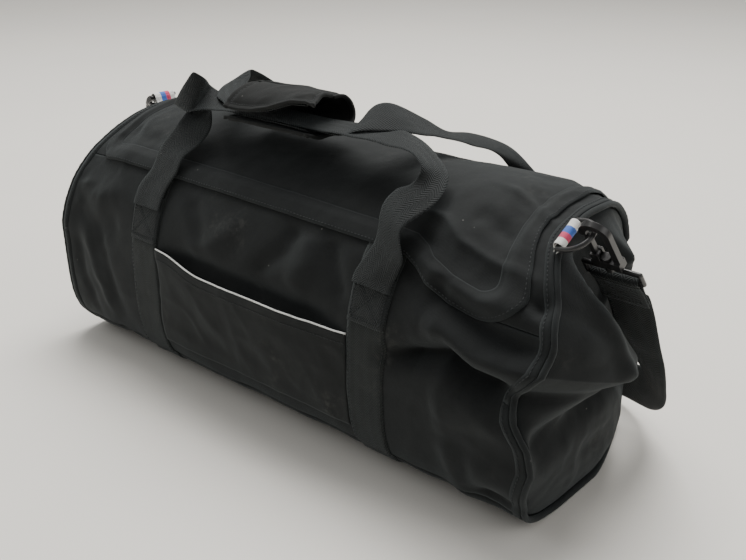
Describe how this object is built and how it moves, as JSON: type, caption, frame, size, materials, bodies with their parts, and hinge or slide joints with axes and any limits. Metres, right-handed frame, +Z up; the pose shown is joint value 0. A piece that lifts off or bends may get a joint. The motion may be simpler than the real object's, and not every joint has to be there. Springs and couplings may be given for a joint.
{
  "type": "barrel duffel bag",
  "caption": "Soft barrel holdall with a hinged zip lid, front pocket, paired carry handles with a grip wrap, and a clip-on shoulder strap on swivel hooks.",
  "frame": {"origin": "on the floor under the middle of the bag's base", "axes": "+X along the bag towards the end with the visible strap hook, -Y towards the front pocket, +Z up"},
  "size_m": [0.6111, 0.2683, 0.3],
  "materials": {
    "shell_fabric": "woven black polyester, matt with a faint sheen",
    "flap_fabric": "woven black polyester",
    "pocket_fabric": "woven black polyester",
    "band_webbing": "flat black polyester twill band",
    "handle_webbing": "black twill webbing",
    "wrap_fabric": "padded woven black polyester",
    "fastening_tape": "black hook and loop tape",
    "piping_fabric": "black covered cord",
    "white_piping": "pale reflective cord",
    "seam_tape": "black binding tape",
    "ring_ribbon": "white ribbon with two plain stripes",
    "zip_tape": "black knitted zip tape",
    "zip_coil": "black nylon coil",
    "slider_metal": "black painted die cast",
    "hardware_plastic": "black moulded plastic, semi gloss"
  },
  "bodies": {
    "bag_body": {"front_panel": "shell_fabric", "back_panel": "shell_fabric", "base_panel": "shell_fabric", "left_yoke": "shell_fabric", "right_yoke": "shell_fabric", "left_end_cap": "shell_fabric", "right_end_cap": "shell_fabric", "left_piping": "piping_fabric", "right_piping": "piping_fabric", "left_seam_binding": "seam_tape", "right_seam_binding": "seam_tape", "left_band": "band_webbing", "right_band": "band_webbing", "front_pocket": "pocket_fabric", "pocket_piping": "white_piping", "front_handle_anchors": "handle_webbing", "back_handle_anchors": "handle_webbing", "left_ring_tab": "ring_ribbon", "right_ring_tab": "ring_ribbon", "body_zip_tape": "zip_tape", "body_zip_coil": "zip_coil", "left_strap_tail": "handle_webbing", "shoulder_strap": "handle_webbing"},
    "lid": {"top_lid": "shell_fabric", "storm_flap": "flap_fabric", "lid_zip_tape": "zip_tape", "lid_zip_coil": "zip_coil"},
    "left_slider": {"left_slider": "slider_metal"},
    "right_slider": {"right_slider": "slider_metal"},
    "left_puller": {"left_puller": "slider_metal"},
    "right_puller": {"right_puller": "slider_metal"},
    "front_handle": {"front_handle": "handle_webbing"},
    "back_handle": {"back_handle": "handle_webbing", "wrap_shell": "wrap_fabric", "wrap_loop_patch": "fastening_tape"},
    "wrap_flap": {"wrap_flap": "wrap_fabric", "wrap_hook_patch": "fastening_tape"},
    "left_ring": {"left_d_ring": "hardware_plastic"},
    "right_ring": {"right_d_ring": "hardware_plastic"},
    "left_hook": {"left_hook": "hardware_plastic"},
    "right_hook": {"right_hook": "hardware_plastic"},
    "left_gate": {"left_gate": "hardware_plastic"},
    "right_gate": {"right_gate": "hardware_plastic"},
    "left_swivel": {"left_swivel_loop": "hardware_plastic", "left_strap_end": "handle_webbing"},
    "right_swivel": {"right_swivel_loop": "hardware_plastic", "right_strap_end": "handle_webbing"},
    "adjuster": {"strap_adjuster": "hardware_plastic"}
  },
  "joints": [
    {"name": "lid_open", "type": "hinge", "parent": "bag_body", "child": "lid", "pos_m": [0, 0.09346, 0.19642], "axis": [-1, 0, 0], "range_deg": [0, 100], "deforming": ["front_handle", "back_handle", "wrap_shell", "wrap_loop_patch", "wrap_flap", "wrap_hook_patch", "body_zip_coil", "lid_zip_coil", "body_zip_tape", "lid_zip_tape"]},
    {"name": "left_zip_slide", "type": "slide", "parent": "bag_body", "child": "left_slider", "axis": [-1, 0, 0], "range_m": [0, 0.15]},
    {"name": "right_zip_slide", "type": "slide", "parent": "bag_body", "child": "right_slider", "axis": [1, 0, 0], "range_m": [0, 0.15]},
    {"name": "left_puller_flip", "type": "hinge", "parent": "left_slider", "child": "left_puller", "pos_m": [-0.01, -0.08864, 0.20212], "axis": [0, 0.6884, 0.7254], "range_deg": [0, 120], "deforming": ["storm_flap"]},
    {"name": "right_puller_flip", "type": "hinge", "parent": "right_slider", "child": "right_puller", "pos_m": [0.01, -0.08864, 0.20212], "axis": [0, -0.6884, -0.7254], "range_deg": [0, 120]},
    {"name": "front_handle_swing", "type": "hinge", "parent": "bag_body", "child": "front_handle", "pos_m": [0, -0.10871, 0.1795], "axis": [1, 0, 0], "range_deg": [0, 135]},
    {"name": "back_handle_swing", "type": "hinge", "parent": "bag_body", "child": "back_handle", "pos_m": [0, 0.10871, 0.1795], "axis": [-1, 0, 0], "range_deg": [0, 135]},
    {"name": "wrap_close", "type": "hinge", "parent": "back_handle", "child": "wrap_flap", "pos_m": [0, -0.02915, 0.281], "axis": [1, 0, 0], "range_deg": [-60, 24]},
    {"name": "left_ring_swing", "type": "hinge", "parent": "bag_body", "child": "left_ring", "pos_m": [-0.2595, 0.002, 0.2374], "axis": [0, -1, 0], "range_deg": [-12, 5], "deforming": ["shoulder_strap", "left_strap_tail", "left_strap_end", "right_strap_end"]},
    {"name": "left_hook_swing", "type": "hinge", "parent": "left_ring", "child": "left_hook", "pos_m": [-0.27629, 0.002, 0.22564], "axis": [0, -1, 0], "range_deg": [-5.6, 12.6]},
    {"name": "left_gate_open", "type": "hinge", "parent": "left_hook", "child": "left_gate", "pos_m": [-0.26979, 0.002, 0.19664], "axis": [0, -1, 0], "range_deg": [0, 24], "stiffness_Nm_per_rad": 0.02},
    {"name": "left_swivel_turn", "type": "hinge", "parent": "left_hook", "child": "left_swivel", "pos_m": [-0.27629, 0.002, 0.22564], "axis": [0, 0, 1], "range_deg": [-90, 90]},
    {"name": "right_ring_swing", "type": "hinge", "parent": "bag_body", "child": "right_ring", "pos_m": [0.273, -0.0609, 0.2279], "axis": [0, 0.8746, 0.4848], "range_deg": [-12, 5], "deforming": ["shoulder_strap", "left_strap_tail", "left_strap_end", "right_strap_end"]},
    {"name": "right_hook_swing", "type": "hinge", "parent": "right_ring", "child": "right_hook", "pos_m": [0.2922, -0.05854, 0.23387], "axis": [0, 0.8746, 0.4848], "range_deg": [-5.6, 12.6]},
    {"name": "right_gate_open", "type": "hinge", "parent": "right_hook", "child": "right_gate", "pos_m": [0.2857, -0.0399, 0.21166], "axis": [0, 0.766, 0.6428], "range_deg": [0, 24], "stiffness_Nm_per_rad": 0.02},
    {"name": "right_swivel_turn", "type": "hinge", "parent": "right_hook", "child": "right_swivel", "pos_m": [0.2922, -0.05854, 0.23387], "axis": [0, -0.6428, 0.766], "range_deg": [-90, 90]},
    {"name": "adjuster_slide", "type": "slide", "parent": "bag_body", "child": "adjuster", "axis": [1, 0, 0], "range_m": [-0.06, 0.06]}
  ],
  "couplings": [
    {"joint": "left_hook_swing", "follows": "left_ring_swing", "ratio": -1},
    {"joint": "right_hook_swing", "follows": "right_ring_swing", "ratio": -1}
  ]
}
